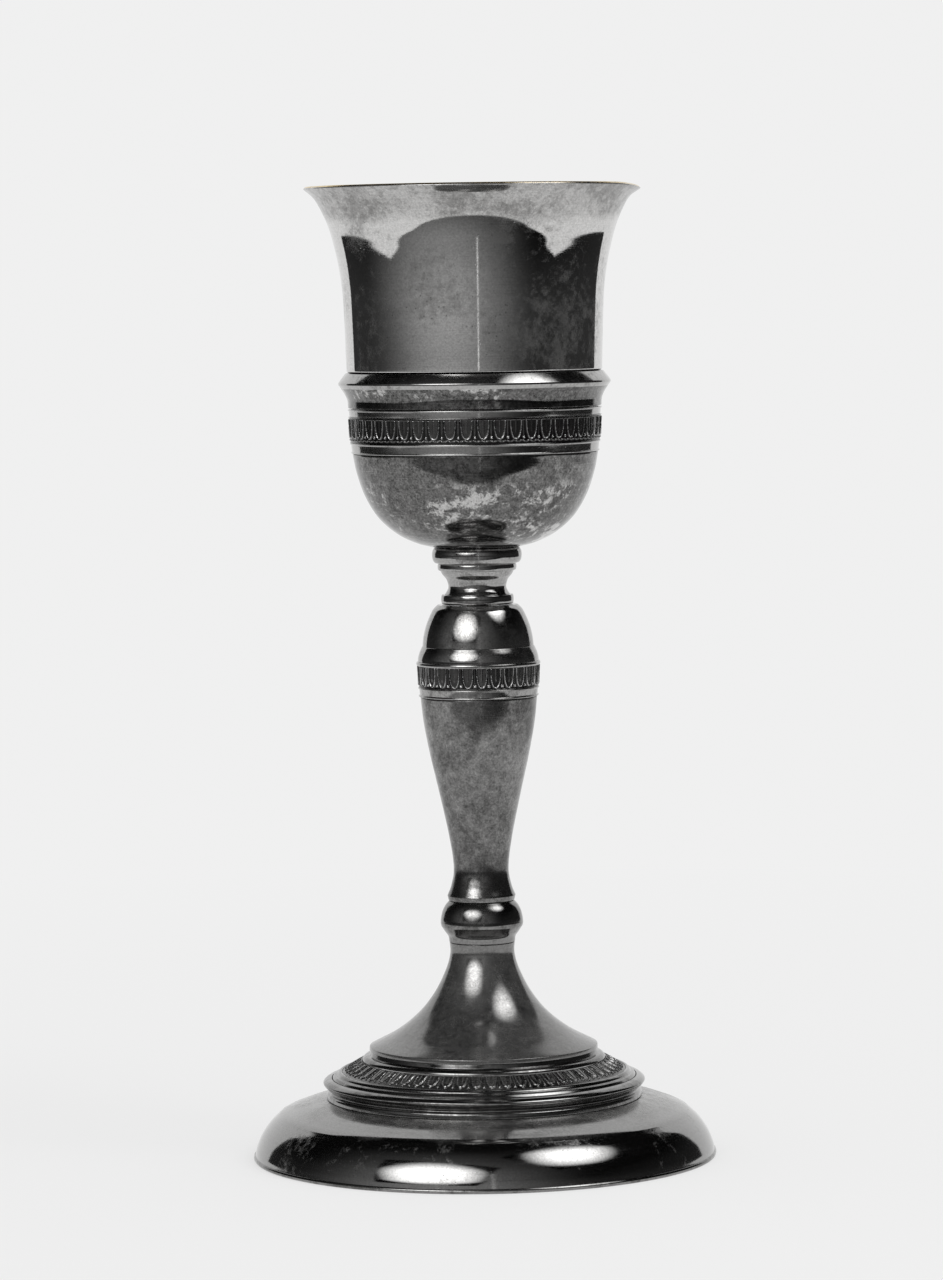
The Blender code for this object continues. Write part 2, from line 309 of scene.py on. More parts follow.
def calyx_relief(x, y, pitch, height):
    """Tongues and darts under a double line, with a wavy leaf line along the foot."""
    side = pitch / 2 - np.abs(x)
    lines = np.maximum(ridge(y - 0.12, 0.11), 0.8 * ridge(y - 0.5, 0.1))
    below = y > 0.62
    tongues = tongue(x, y - 0.62, 0.335 * pitch, 4.95, 0.17) * below
    dart = 0.75 * ridge(side - 0.16, 0.1) * (1 - step(y, 3.4, 4.9))
    spine = 0.8 * ridge(side, 0.1) * step(y, 2.6, 3.6) * (1 - step(y, 5.0, 5.2))
    drop = 1.05 * round_bead(side, (y - 5.2) * 0.8, 0.34)
    wave = 0.14 * np.sin(4 * math.pi * x / pitch)
    leaves = 0.9 * ridge(y - 6.15 - wave, 0.15) * (0.65 + 0.35 * np.cos(8 * math.pi * x / pitch))
    return np.maximum.reduce([lines, tongues, dart * below, spine, drop, leaves])


def knop_relief(x, y, pitch, height):
    """Pointed tongues with a square berry between their tips."""
    side = pitch / 2 - np.abs(x)
    tongues = tongue(x, y, 0.36 * pitch, 5.2, 0.17)
    dart = 0.7 * ridge(side, 0.11) * (1 - step(y, 3.9, 4.2))
    berry_x = side / 0.44
    berry_y = (y - 4.75) / 0.42
    berry = np.clip(1 - berry_x**4 - berry_y**4, 0, 1) ** 0.5
    seeds = 0.8 + 0.25 * np.cos(1.5 * math.pi * berry_x) * np.cos(1.5 * math.pi * berry_y)
    foot_line = 0.5 * ridge(y - height + 0.1, 0.1)
    return np.maximum.reduce([tongues, dart, 1.1 * berry * seeds, foot_line])


def foot_relief(x, y, pitch, height):
    """Radial tongues and darts that end in beads, two to each tongue."""
    side = pitch / 2 - np.abs(x)
    tongues = tongue(x, y - 0.25, 0.33 * pitch, 4.5, 0.18) * (y > 0.25)
    dart = 0.75 * ridge(side, 0.12) * step(y, 0.2, 0.4) * (1 - step(y, 4.3, 4.6))
    beads = np.maximum(round_bead(side, y - 4.95, 0.33), round_bead(x, y - 5.2, 0.3))
    top_line = 0.7 * ridge(y - 0.08, 0.1)
    return np.maximum.reduce([tongues, dart, beads, top_line])


def raised_units(relief, depth, units, columns, rows, pitch, height):
    """How far each point of a band stands out, [round, down], from one unit that repeats round it."""
    across = (np.arange(units * columns) % columns + 0.5) / columns - 0.5
    x, y = np.meshgrid(across * pitch, np.linspace(0, 1, rows) * height, indexing="ij")
    raised = depth * (relief(x, y, pitch, height) - GROUND)
    edge = np.minimum(step(y, 0.0, 0.05), 1 - step(y, height - 0.05, height))
    return raised * edge


def frieze(name, node, top, foot, wall, relief, depth, units, columns, rows, material):
    """A stamped band from its top edge to its foot edge, both (radius, height).

    Each of its units is drawn by relief, in columns by rows points, and stands out by depth.
    """
    top = np.array(top)
    foot = np.array(foot)
    height = np.linalg.norm(foot - top)
    down = (foot - top) / height
    outward = np.array([-down[1], down[0]])
    middle_r = (top[0] + foot[0]) / 2
    pitch = 2 * math.pi * middle_r / units
    raised = raised_units(relief, depth, units, columns, rows, pitch, height)
    line = top + np.linspace(0, 1, rows)[:, None] * (foot - top)
    front = line + raised[..., None] * outward
    back = np.array([foot, top]) - wall * outward
    segments = units * columns
    outline = np.concatenate([front, np.broadcast_to(back, (segments, 2, 2))], axis=1)
    angles = np.linspace(0, 2 * math.pi, segments, endpoint=False)
    mesh = swept_mesh(name, around(angles, outline[..., 0], outline[..., 1]))
    shown = np.pad(raised / depth, ((0, 0), (0, 2))) + GROUND
    values = shown.ravel().astype(np.float32)
    mesh.attributes.new("relief", "FLOAT", "POINT").data.foreach_set("value", values)
    finish_mesh(name, mesh, [material], CHALICE, [node], sharp=70)


# ---------------------------------------------------------------- materials


class Nodes:
    """A short way to lay out and link a material's shader nodes."""

    def __init__(self, name):
        self.material = bpy.data.materials.new(name)
        self.material.use_nodes = True
        self.tree = self.material.node_tree
        self.shader = self.tree.nodes["Principled BSDF"]
        coordinates = self.add("ShaderNodeTexCoord")
        self.place = coordinates.outputs["Object"]
        self.uv = coordinates.outputs["UV"]

    def add(self, kind, inputs=None, **settings):
        node = self.tree.nodes.new(kind)
        for key, value in settings.items():
            setattr(node, key, value)
        for key, value in (inputs or {}).items():
            self.put(value, node.inputs[key])
        return node

    def put(self, value, socket):
        """Links an output to the socket, or sets the socket's value."""
        if isinstance(value, bpy.types.NodeSocket):
            self.tree.links.new(value, socket)
        else:
            socket.default_value = value

    def moved(self, scale, offset=(0, 0, 0)):
        inputs = {"Vector": self.place, "Scale": scale, "Location": offset}
        return self.add("ShaderNodeMapping", inputs).outputs["Vector"]

    def noise(self, scale, detail=6.0, rough=0.6, distortion=0.0, where=None):
        inputs = {"Vector": where or self.place, "Scale": scale, "Detail": detail}
        inputs |= {"Roughness": rough, "Distortion": distortion}
        return self.add("ShaderNodeTexNoise", inputs).outputs["Fac"]

    def specks(self, scale, size, where=None):
        """1 in small scattered spots and 0 elsewhere."""
        cells = self.add("ShaderNodeTexVoronoi", {"Vector": where or self.place, "Scale": scale})
        return self.spread(cells.outputs["Distance"], size, 0.4 * size, 0.0, 1.0)

    def spread(self, value, low, high, to_low, to_high):
        """Maps low..high to to_low..to_high, and holds it inside them."""
        inputs = {"Value": value, "From Min": low, "From Max": high, "To Min": to_low, "To Max": to_high}
        return self.add("ShaderNodeMapRange", inputs, clamp=True).outputs["Result"]

    def maths(self, operation, first, second):
        node = self.add("ShaderNodeMath", operation=operation)
        self.put(first, node.inputs[0])
        self.put(second, node.inputs[1])
        return node.outputs["Value"]

    def mix(self, share, first, second):
        node = self.add("ShaderNodeMix", data_type="RGBA")
        self.put(share, node.inputs["Factor"])
        self.put(first, node.inputs[6])
        self.put(second, node.inputs[7])
        return node.outputs[2]

    def bump(self, height, distance, under=None):
        inputs = {"Height": height, "Strength": 1.0, "Distance": distance}
        if under:
            inputs["Normal"] = under
        return self.add("ShaderNodeBump", inputs).outputs["Normal"]

    def surface(self, colour, roughness, metallic, normal):
        self.put(colour, self.shader.inputs["Base Color"])
        self.put(roughness, self.shader.inputs["Roughness"])
        self.put(metallic, self.shader.inputs["Metallic"])
        self.put(normal, self.shader.inputs["Normal"])
        return self.material


def grey(level, warm=0.0):
    """A grey colour of this level, a little yellowish where warm is over 0."""
    return (level * (1 + warm), level, level * (1 - 1.6 * warm), 1.0)


def tarnish(n, where, clouds, soft, thick_above, least):
    """The tarnish's thickness, 0 to 1, with the large drift and the fine grain that break it up.

    clouds is the share of the surface that it covers and soft how gradual its edges are. Above the height
    thick_above, in metres, it covers everything, at no less than least until the grain breaks it up.
    On the calyx's belly this full cover is a painted dark reflection.
    """
    large = n.noise(48.0, 6.0, 0.6, 0.6, where)
    cloud = n.noise(420.0, 10.0, 0.75, 0.3, where)
    grain = n.noise(1700.0, 5.0, 0.8, 0.0, where)
    drift = n.maths("ADD", n.maths("MULTIPLY", large, 0.55), n.maths("MULTIPLY", cloud, 0.45))
    edge = 0.64 - 0.3 * clouds
    patches = n.spread(drift, edge - soft, edge + soft, 0.0, 1.0)
    if thick_above:
        height = n.add("ShaderNodeSeparateXYZ", {"Vector": n.place}).outputs["Z"]
        ragged = n.maths("ADD", height, n.maths("MULTIPLY", large, 0.006))
        zone = n.spread(ragged, thick_above, thick_above + 0.003, 0.0, 1.0)
        uneven = n.spread(n.maths("ADD", large, cloud), 0.85, 1.1, least, 1.0)
        patches = n.maths("MAXIMUM", patches, n.maths("MULTIPLY", zone, uneven))
    broken = n.spread(n.maths("ADD", cloud, grain), 0.75, 1.2, 0.55, 1.0)
    return large, grain, n.maths("MULTIPLY", patches, broken)


def silver_colour(n, bright, dull, cover, grain, scratches, spots, grit):
    """Dull under the tarnish, darker in its grain and its specks, and brighter on the rubbed lines."""
    colour = n.mix(cover, grey(bright, 0.008), grey(dull, 0.015))
    colour = n.mix(n.spread(grain, 0.35, 0.7, 0.0, grit), colour, grey(0.45 * dull))
    colour = n.mix(n.spread(scratches, 0.6, 0.8, 0.0, 0.35), colour, grey(min(1.25 * bright, 0.95)))
    colour = n.mix(n.spread(scratches, 0.2, 0.42, 0.35, 0.0), colour, grey(0.5 * dull))
    return n.mix(spots, colour, grey(0.02))


def worn_relief(n, colour, contrast):
    """Darkens the hollows of stamped relief, and brightens its ridges as wear does."""
    relief = n.add("ShaderNodeAttribute", attribute_name="relief").outputs["Fac"]
    colour = n.mix(n.spread(relief, 0.1, 0.5, contrast, 0.0), colour, grey(0.02))
    return n.mix(n.spread(relief, 0.6, 0.95, 0.0, contrast), colour, grey(0.8))


def silver_normal(n, where, seed, grain, spots, lines):
    """Slight waves in the sheet, turning lines, the tarnish's grain, and specks eaten into the metal."""
    normal = n.bump(n.noise(16.0, 2.0, 0.5, 0.0, where), 0.00012)
    turning = n.noise(1.0, 4.0, 0.75, 0.0, n.moved((22, 22, 2600), (seed, 0, 0)))
    normal = n.bump(turning, lines, normal)
    normal = n.bump(grain, 0.000002, normal)
    return n.bump(spots, -0.00002, normal)


def tarnished_silver(
    name,
    seed,
    bright,
    dull,
    clouds,
    polish,
    film,
    haze,
    soft=0.035,
    thick_above=None,
    least=0.4,
    grit=0.45,
    lines=0.000002,
    contrast=None,
):
    """Polished silver under flecked tarnish.

    bright and dull are the reflectance of the clean and the tarnished metal, polish and film their
    roughness, and haze how milky the film is. clouds, soft, thick_above and least are tarnish's. grit is
    how dark the fine grain is, and lines how deep the turning lines are. contrast is how dark the hollows
    of stamped relief are and how bright its ridges are worn.
    """
    n = Nodes(name)
    where = n.moved((1, 1, 1), (seed, 2 * seed, -seed))
    large, grain, cover = tarnish(n, where, clouds, soft, thick_above, least)
    pits = n.spread(large, 0.45, 0.62, 0.0, 0.6)
    spots = n.maths("MULTIPLY", n.specks(640.0, 0.16, where), pits)
    scratches = n.noise(1.0, 3.0, 0.6, 0.0, n.moved((60, 60, 5200), (0, seed, 0)))
    colour = silver_colour(n, bright, dull, cover, grain, scratches, spots, grit)
    if contrast:
        colour = worn_relief(n, colour, contrast)
    rubbed = n.spread(scratches, 0.5, 0.8, 0.0, 0.05)
    rough = n.maths("ADD", n.spread(cover, 0.0, 1.0, polish, film), rubbed)
    milky = n.maths("MULTIPLY", cover, n.spread(grain, 0.3, 0.6, 0.6, 1.0))
    metallic = n.spread(milky, 0.0, 1.0, 1.0, 1.0 - haze)
    return n.surface(colour, rough, metallic, silver_normal(n, where, seed, grain, spots, lines))


def gilding(name):
    """The worn gilding inside the cup."""
    n = Nodes(name)
    wear = n.spread(n.noise(70.0, 8.0, 0.65, 0.6), 0.5, 0.72, 0.0, 0.7)
    grain = n.noise(800.0, 4.0, 0.7)
    colour = n.mix(wear, (0.83, 0.66, 0.36, 1.0), (0.70, 0.68, 0.63, 1.0))
    colour = n.mix(n.spread(grain, 0.4, 0.8, 0.0, 0.15), colour, (0.45, 0.34, 0.17, 1.0))
    rough = n.spread(n.noise(150.0, 6.0, 0.6), 0.35, 0.7, 0.16, 0.34)
    lines = n.noise(1.0, 3.0, 0.7, 0.0, n.moved((20, 20, 2400)))
    normal = n.bump(grain, 0.000004, n.bump(lines, 0.000012))
    return n.surface(colour, rough, 1.0, normal)


def dull_metal(name, clean, dirty, low_rough, high_rough, seed):
    """Bare iron or brass under the foot, with dirt and handling marks."""
    n = Nodes(name)
    shifted = n.moved((1, 1, 1), (seed, seed, seed))
    dirt = n.spread(n.noise(260.0, 8.0, 0.7, 0.4, shifted), 0.4, 0.68, 0.0, 1.0)
    grain = n.noise(1500.0, 4.0, 0.7, 0.0, shifted)
    colour = n.mix(dirt, clean, dirty)
    worn = n.maths("ADD", dirt, n.maths("MULTIPLY", grain, 0.4))
    rough = n.spread(worn, 0.1, 1.2, low_rough, high_rough)
    normal = n.bump(grain, 0.00002, n.bump(dirt, -0.00004))
    return n.surface(colour, rough, 1.0, normal)


# ---------------------------------------------------------------- pieces


def ring(node, outside, inside, material, segments=STEM_SEGMENTS, **options):
    """A solid ring: its outside runs down and its inside back up."""
    turn(f"{node}_turned", rounded(outside + inside), segments, [material], node, **options)


def shell(node, outside, wall, material, segments=STEM_SEGMENTS):
    """A spun sheet whose outside is the outline."""
    turn(f"{node}_spun", rounded(with_wall(outside, wall)), segments, [material], node)


def bore(radius, at):
    """The inside of a ring: straight up from its foot to its top, each grown to meet its neighbour."""
    return [(radius, at.foot - SEAM), (radius, at.top + SEAM)]


def bead_ring(node, bow, hole_r, material, count=14):
    """A ring with a half-round outside that stands out by bow, and a straight hole."""
    at = Place(node)
    outside = bead(at.r, bow, at.foot - SEAM, at.top + SEAM, count)
    ring(node, outside, bore(hole_r, at), material)


def lip_shape(rings, angles):
    """The lip sags a little on the right, and the cup's wall is very slightly out of true."""
    at = Place("cup_bowl")
    right = (angles + math.pi) % (2 * math.pi) - math.pi
    sag = 0.5 * (1 + np.cos(np.clip(right / math.radians(34), -1, 1) * math.pi))
    near_lip = step(rings[..., 2], at.top - 5.0, at.top)
    rings[..., 2] -= 0.9 * sag[:, None] * near_lip
    true = 1 + 0.0006 * np.sin(3 * angles + 0.6) + 0.0004 * np.sin(5 * angles + 2.1)
    rings[..., :2] *= true[:, None, None]
    return rings


def cup_bowl(silver, gilt):
    """The drinking cup, silver outside and gilt inside."""
    at = Place("cup_bowl")
    rim = Place("calyx_rim_moulding")
    lip_and_wall = flow(
        [
            (at.r - 0.1, at.top - 0.69),
            (at.r - 3.0, at.top - 3.4),
            (at.r - 5.53, at.top - 8.0),
            (at.r - 7.15, at.top - 12.2),
            (at.r - 8.3, at.top - 16.5),
            (at.r - 9.25, at.top - 20.8),
            (at.r - 9.95, at.top - 25.1),
            (at.r - 10.45, at.top - 30.0),
            (at.r - 10.75, at.top - 36.5),
            (at.r - 11.0, at.top - 43.5),
            (at.r - 11.2, rim.top + 0.5),
        ],
        96,
    )
    shoulder = [(at.r - 13.0, rim.top - 1.3)]
    inner_r = at.r - 13.7
    bowl = flow(
        [
            (inner_r, rim.foot - 0.4),
            (inner_r - 0.7, at.foot + 24.6),
            (inner_r - 2.6, at.foot + 15.1),
            (inner_r - 8.5, at.foot + 6.5),
            (inner_r - 19.5, at.foot + 1.1),
            (0.0, at.foot),
        ],
        40,
    )
    loop = rounded(with_wall(lip_and_wall + shoulder + bowl, CUP_WALL), 0.3)
    on_axis = [index for index, (r, _) in enumerate(loop) if r < ON_AXIS]
    turn(
        "cup_bowl_spun",
        loop,
        WIDE_SEGMENTS,
        [silver, gilt],
        "cup_bowl",
        slot="cup_silver",
        shape=lip_shape,
        second_from=on_axis[-1],
    )


def calyx_sheet(silver):
    """The outer bowl: a straight seat for the wires and the frieze, and the belly under it."""
    body = Place("calyx_shell")
    seat_foot = Place("calyx_lower_wire").foot - 0.3
    band_seat = [(body.r, body.top), (body.r - 0.7, seat_foot)]
    belly = flow(
        [
            (body.r, seat_foot),
            (body.r - 1.05, body.foot + 20.4),
            (body.r - 3.25, body.foot + 14.0),
            (body.r - 6.85, body.foot + 8.1),
            (body.r - 11.85, body.foot + 3.7),
            (body.r - 16.85, body.foot + 1.2),
            (Place("stem_top_collar").r, body.foot),
        ],
        56,
    )
    outside = band_seat + belly + [(6.5, body.foot)]
    shell("calyx_shell", outside, CALYX_WALL, silver, WIDE_SEGMENTS)


def calyx_rim(bevel_silver, silver):
    """The projecting rim: a bevel of the first silver over a cavetto of the second."""
    rim = Place("calyx_rim_moulding")
    bevel = [(rim.r - 2.0, rim.top), (rim.r, rim.top - 2.6), (rim.r, rim.top - 3.1)]
    cavetto = flow(
        [
            (rim.r - 0.7, rim.top - 4.1),
            (rim.r - 1.8, rim.top - 5.8),
            (rim.r - 2.45, rim.top - 7.5),
            (rim.r - 2.6, rim.foot - SEAM),
        ],
        30,
    )
    inside = [(rim.r - 3.7, rim.foot - SEAM), (rim.r - 3.7, rim.top - 1.7)]
    loop = rounded(bevel + cavetto + inside)
    under_bevel = next(index for index, point in enumerate(loop) if point[1] < rim.top - 3.5)
    turn(
        "calyx_rim_moulding_turned",
        loop,
        WIDE_SEGMENTS,
        [bevel_silver, silver],
        "calyx_rim_moulding",
        second_from=under_bevel,
    )


def calyx_bands(plain, chased):
    """The upper wire, the lower double wire, and the frieze between them."""
    upper = Place("calyx_upper_wire")
    outside = bead(upper.r, 0.3, upper.top - 0.35, upper.top + SEAM)
    outside.append((upper.r - 0.45, upper.foot - SEAM))
    ring("calyx_upper_wire", outside, bore(upper.r - 0.9, upper), plain, WIDE_SEGMENTS)

    lower = Place("calyx_lower_wire")
    upper_bead = bead(lower.r, 0.3, lower.top - 0.4, lower.top + SEAM)
    lower_bead = bead(lower.r - 0.3, 0.25, lower.foot - SEAM, lower.foot + 0.35)
    inside = bore(lower.r - 1.0, lower)
    ring("calyx_lower_wire", upper_bead + lower_bead, inside, plain, WIDE_SEGMENTS)

    band = Place("calyx_frieze_band")
    frieze(
        "calyx_frieze",
        "calyx_frieze_band",
        top=(band.r - 0.05, band.top + SEAM),
        foot=(band.r - 0.35, band.foot - SEAM),
        wall=0.6,
        relief=calyx_relief,
        depth=0.34,
        units=48,
        columns=28,
        rows=72,
        material=chased,
    )


def neck(silver):
    """The collar, fillet, hollow neck and ring between the cup and the knop."""
    boss_hole_r = Place("cup_boss").r + 0.4
    bead_ring("stem_top_collar", 1.0, boss_hole_r, silver, 28)
    bead_ring("stem_collar_fillet", 0.3, boss_hole_r, silver)

    hollow = Place("stem_neck")
    scotia = flow(
        [
            (hollow.r, hollow.top + SEAM),
            (hollow.r - 0.6, hollow.top - 1.0),
            (hollow.r - 1.7, hollow.top - 2.4),
            (hollow.r - 2.2, hollow.top - 4.2),
            (hollow.r - 1.9, hollow.foot + 1.0),
            (hollow.r - 1.2, hollow.foot - SEAM),
        ],
        40,
    )
    ring("stem_neck", scotia, bore(STEM_BORE_R, hollow), silver)
    bead_ring("neck_fillet_ring", 0.3, STEM_BORE_R, silver)


def knop_top(silver):
    """The dome and the torus at its foot."""
    dome = Place("knop_dome")
    side = flow(
        [
            (dome.r - 4.3, dome.top),
            (dome.r - 2.9, dome.top - 1.5),
            (dome.r - 1.3, dome.top - 5.0),
            (dome.r - 0.4, dome.top - 8.3),
            (dome.r, dome.foot - SEAM),
        ],
        48,
    )
    shell("knop_dome", [(STEM_BORE_R, dome.top)] + side, KNOP_WALL, silver)

    shoulder = Place("knop_shoulder_moulding")
    torus = flow(
        [
            (shoulder.r - 1.2, shoulder.top + SEAM),
            (shoulder.r - 0.5, shoulder.top - 1.4),
            (shoulder.r - 0.1, shoulder.top - 2.8),
            (shoulder.r, shoulder.foot - SEAM),
        ],
        24,
    )
    ring("knop_shoulder_moulding", torus, bore(shoulder.r - 1.9, shoulder), silver)


def knop_bands(silver, chased):
    """The upper wire, the frieze and the lower double wire."""
    bead_ring("knop_upper_wire", 0.3, Place("knop_upper_wire").r - 2.35, silver)

    band = Place("knop_frieze_band")
    frieze(
        "knop_frieze",
        "knop_frieze_band",
        top=(band.r - 0.05, band.top + SEAM),
        foot=(band.r - 0.3, band.foot - SEAM),
        wall=0.8,
        relief=knop_relief,
        depth=0.4,
        units=27,
        columns=32,
        rows=72,
        material=chased,
    )

    lower = Place("knop_lower_wire")
    beads = bead(lower.r, 0.3, lower.top - 0.4, lower.top + SEAM)
    beads += bead(lower.r - 0.15, 0.3, lower.foot - SEAM, lower.foot + 0.4)
    ring("knop_lower_wire", beads, bore(lower.r - 0.8, lower), silver)


def knop_body(silver):
    """The long tapering baluster, with the seat of the frieze at its top and its flare at the foot."""
    body = Place("knop_body")
    band = Place("knop_frieze_band")
    seat_foot = Place("knop_lower_wire").foot - 0.3
    seat = [(band.r - 1.2, band.top), (band.r - 1.2, seat_foot)]
    baluster = flow(
        [
            (body.r, seat_foot),
            (body.r - 0.7, 119.0),
            (body.r - 2.3, 110.3),
            (body.r - 4.8, 99.2),
            (body.r - 7.3, 87.4),
            (body.r - 8.4, 79.0),
            (body.r - 7.7, 74.2),
            (body.r - 6.6, body.foot + 1.3),
        ],
        96,
    )
    sole = [(body.r - 6.9, body.foot), (STEM_BORE_R, body.foot)]
    shell("knop_body", seat + baluster + sole, KNOP_WALL, silver)


def lower_knop(silver):
    """The small ring knop, with the cavetto under it."""
    at = Place("lower_ring_knop")
    ovolo = [
        (at.r - 2.4, at.top + SEAM),
        (at.r - 1.35, at.top - 1.1),
        (at.r - 0.6, at.top - 2.6),
        (at.r - 0.15, at.top - 4.4),
        (at.r, at.top - 5.9),
    ]
    cavetto = [
        (at.r - 0.15, at.foot + 4.2),
        (at.r - 1.2, at.foot + 2.6),
        (at.r - 2.1, at.foot + 1.3),
        (at.r - 2.3, at.foot - SEAM),
    ]
    ring("lower_ring_knop", flow(ovolo, 24) + flow(cavetto, 24), bore(STEM_BORE_R, at), silver)


def foot_trumpet(silver):
    """The flared upper foot."""
    at = Place("foot_trumpet")
    flare = flow(
        [
            (8.9, at.top),
            (8.8, at.top - 3.1),
            (10.0, at.top - 7.4),
            (13.1, at.top - 13.6),
            (17.6, at.top - 19.3),
            (23.9, at.top - 24.3),
            (at.r - 0.1, at.foot + 1.1),
        ],
        96,
    )
    outside = [(STEM_BORE_R, at.top)] + flare + [(at.r, at.foot)]
    shell("foot_trumpet", outside, FOOT_WALL, silver, WIDE_SEGMENTS)


def foot_step(silver, chased):
    """The step under the trumpet and the frieze round it."""
    at = Place("foot_step_moulding")
    round_step = flow(
        [
            (at.r - 2.1, at.top - 1.0),
            (at.r - 0.9, at.top - 1.3),
            (at.r - 0.2, at.top - 1.9),
            (at.r, at.top - 2.4),
        ],
        16,
    )
    outside = [(at.r - 2.3, at.top + SEAM)] + round_step
    inside = [(at.r - 1.2, at.foot), (at.r - 3.3, at.foot + 1.6), (at.r - 3.3, at.top + SEAM)]
    ring("foot_step_moulding", outside, inside, silver, WIDE_SEGMENTS)

    band = Place("foot_frieze_band")
    frieze(
        "foot_frieze",
        "foot_frieze_band",
        top=(band.r - 5.25, band.top + 0.1),
        foot=(band.r + 0.1, band.top - 3.0),
        wall=0.7,
        relief=foot_relief,
        depth=0.34,
        units=56,
        columns=24,
        rows=56,
        material=chased,
    )


def foot_mouldings(silver):
    """The double wire under the frieze, the torus and the hollow ring."""
    at = Place("foot_frieze_wire")
    first = [
        (at.r - 2.6, at.top),
        (at.r - 2.1, at.top + 0.05),
        (at.r - 1.6, at.top - 0.3),
        (at.r - 1.3, at.top - 0.8),
    ]
    second = [(at.r - 1.0, at.top - 0.95), (at.r - 0.5, at.top - 1.05), (at.r + 0.05, at.top - 1.75)]
    inside = [(at.r - 0.5, at.foot), (at.r - 2.8, at.foot + 1.4)]
    ring("foot_frieze_wire", flow(first, 12) + flow(second, 12), inside, silver, WIDE_SEGMENTS)

    at = Place("foot_torus")
    round_side = [
        (at.r - 2.3, at.top),
        (at.r - 0.9, at.top - 0.4),
        (at.r, at.top - 1.4),
        (at.r - 1.1, at.foot - SEAM),
    ]
    inside = [(at.r - 2.6, at.foot - SEAM), (at.r - 2.7, at.top - 0.9)]
    ring("foot_torus", flow(round_side, 36), inside, silver, WIDE_SEGMENTS)

    at = Place("foot_scotia_ring")
    hollow = [
        (at.r - 0.3, at.top + SEAM),
        (at.r - 0.9, at.top - 0.6),
        (at.r - 0.2, at.top - 1.3),
        (at.r, at.foot - SEAM),
    ]
    ring("foot_scotia_ring", flow(hollow, 20), bore(at.r - 1.9, at), silver, WIDE_SEGMENTS)


def base(silver, edge_silver):
    """The wide domed base and the flat wire that it stands on."""
    at = Place("base_skirt")
    shelf = [(43.4, at.top), (49.0, at.top - 1.5), (54.4, at.top - 3.4)]
    skirt = [
        (55.8, at.top - 4.1),
        (58.6, at.top - 6.7),
        (60.9, at.top - 9.9),
        (62.3, at.top - 13.1),
        (at.r, at.foot - SEAM),
    ]
    outside = [(38.5, at.top)] + flow(shelf, 24) + flow(skirt, 48)
    shell("base_skirt", outside, FOOT_WALL, silver, WIDE_SEGMENTS)

    at = Place("base_foot_wire")
    outside = [(at.r - 0.3, at.top + SEAM), (at.r, at.top - 0.3), (at.r, 0.3), (at.r - 0.2, 0.0)]
    inside = [(at.r - 2.8, 0.0), (at.r - 2.8, at.top + SEAM)]
    ring("base_foot_wire", outside, inside, edge_silver, WIDE_SEGMENTS)


def tie_rod(iron):
    """The rod, with a helical thread on its lower end that fades out above."""
    at = Place("tie_rod")
    thread_top = at.foot + THREAD_LENGTH
    fine = np.arange(at.foot, thread_top, THREAD_PITCH / 10)
    heights = np.concatenate([fine, [thread_top, at.top]])[::-1]
    angles = np.linspace(0, 2 * math.pi, 48, endpoint=False)
    turn_at = heights[None, :] / THREAD_PITCH - angles[:, None] / (2 * math.pi)
    cut = THREAD_DEPTH * (0.5 - 0.5 * np.cos(2 * math.pi * turn_at))
    cut *= 1 - step(heights, thread_top - 1.5, thread_top)
    chamfer = 0.6 * (1 - step(heights, at.foot, at.foot + 0.8))
    radius = at.r - np.maximum(cut, chamfer)
    ends = np.zeros((len(angles), 1))
    all_r = np.hstack([ends, radius, ends])
    all_z = np.concatenate([[at.top], heights, [at.foot]])
    mesh = swept_mesh("tie_rod_threaded", around(angles, all_r, all_z))
    weld_axis(mesh)
    finish_mesh("tie_rod_threaded", mesh, [iron], CHALICE, ["tie_rod"], sharp=50)


def bearing_plate(brass):
    """The bevelled plate that the nut pulls against."""
    at = Place("bearing_plate")
    hole_r = Place("tie_rod").r + 0.3
    outside = [(at.r - 1.2, at.top), (at.r, at.foot)]
    inside = [(hole_r, at.foot), (hole_r, at.top)]
    ring("bearing_plate", outside, inside, brass, 96, body="plate", slot="nut_brass")


def foot_nut(brass):
    """A hexagonal nut with its corners turned off and its bore opened at both ends."""
    at = Place("foot_nut")
    flat_r = at.r * math.cos(math.radians(30))
    bore_r = Place("tie_rod").r + 0.06
    corner_drop = (at.r - flat_r) * 0.6
    angles = np.linspace(0, 2 * math.pi, 144, endpoint=False)
    hexagon = flat_r / np.cos((angles + math.pi / 6) % (math.pi / 3) - math.pi / 6)
    middle = (at.top + at.foot) / 2
    half = (at.top - at.foot) / 2
    chamfered = half - corner_drop * (hexagon - flat_r) / (at.r - flat_r)
    ends_r = np.minimum(hexagon, flat_r - 0.15)
    outline = [
        (ends_r, middle + half),
        (hexagon, middle + chamfered),
        (hexagon, middle - chamfered),
        (ends_r, middle - half),
        (bore_r + 0.5, middle - half),
        (bore_r, middle - half + 0.5),
        (bore_r, middle + half - 0.5),
        (bore_r + 0.5, middle + half),
    ]
    all_r = np.column_stack([np.broadcast_to(radius, angles.shape) for radius, _ in outline])
    all_z = np.column_stack([np.broadcast_to(height, angles.shape) for _, height in outline])
    mesh = swept_mesh("foot_nut_hexagonal", around(angles, all_r, all_z))
    finish_mesh("foot_nut_hexagonal", mesh, [brass], "nut", ["foot_nut"], sharp=20)


# ---------------------------------------------------------------- studio


def staged(name, mesh, material):
    """An object of the studio, which isn't part of the cup."""
    mesh.materials.append(material)
    obj = bpy.data.objects.new(name, mesh)
    bpy.context.scene.collection.objects.link(obj)
    obj.visible_diffuse = False
    return obj


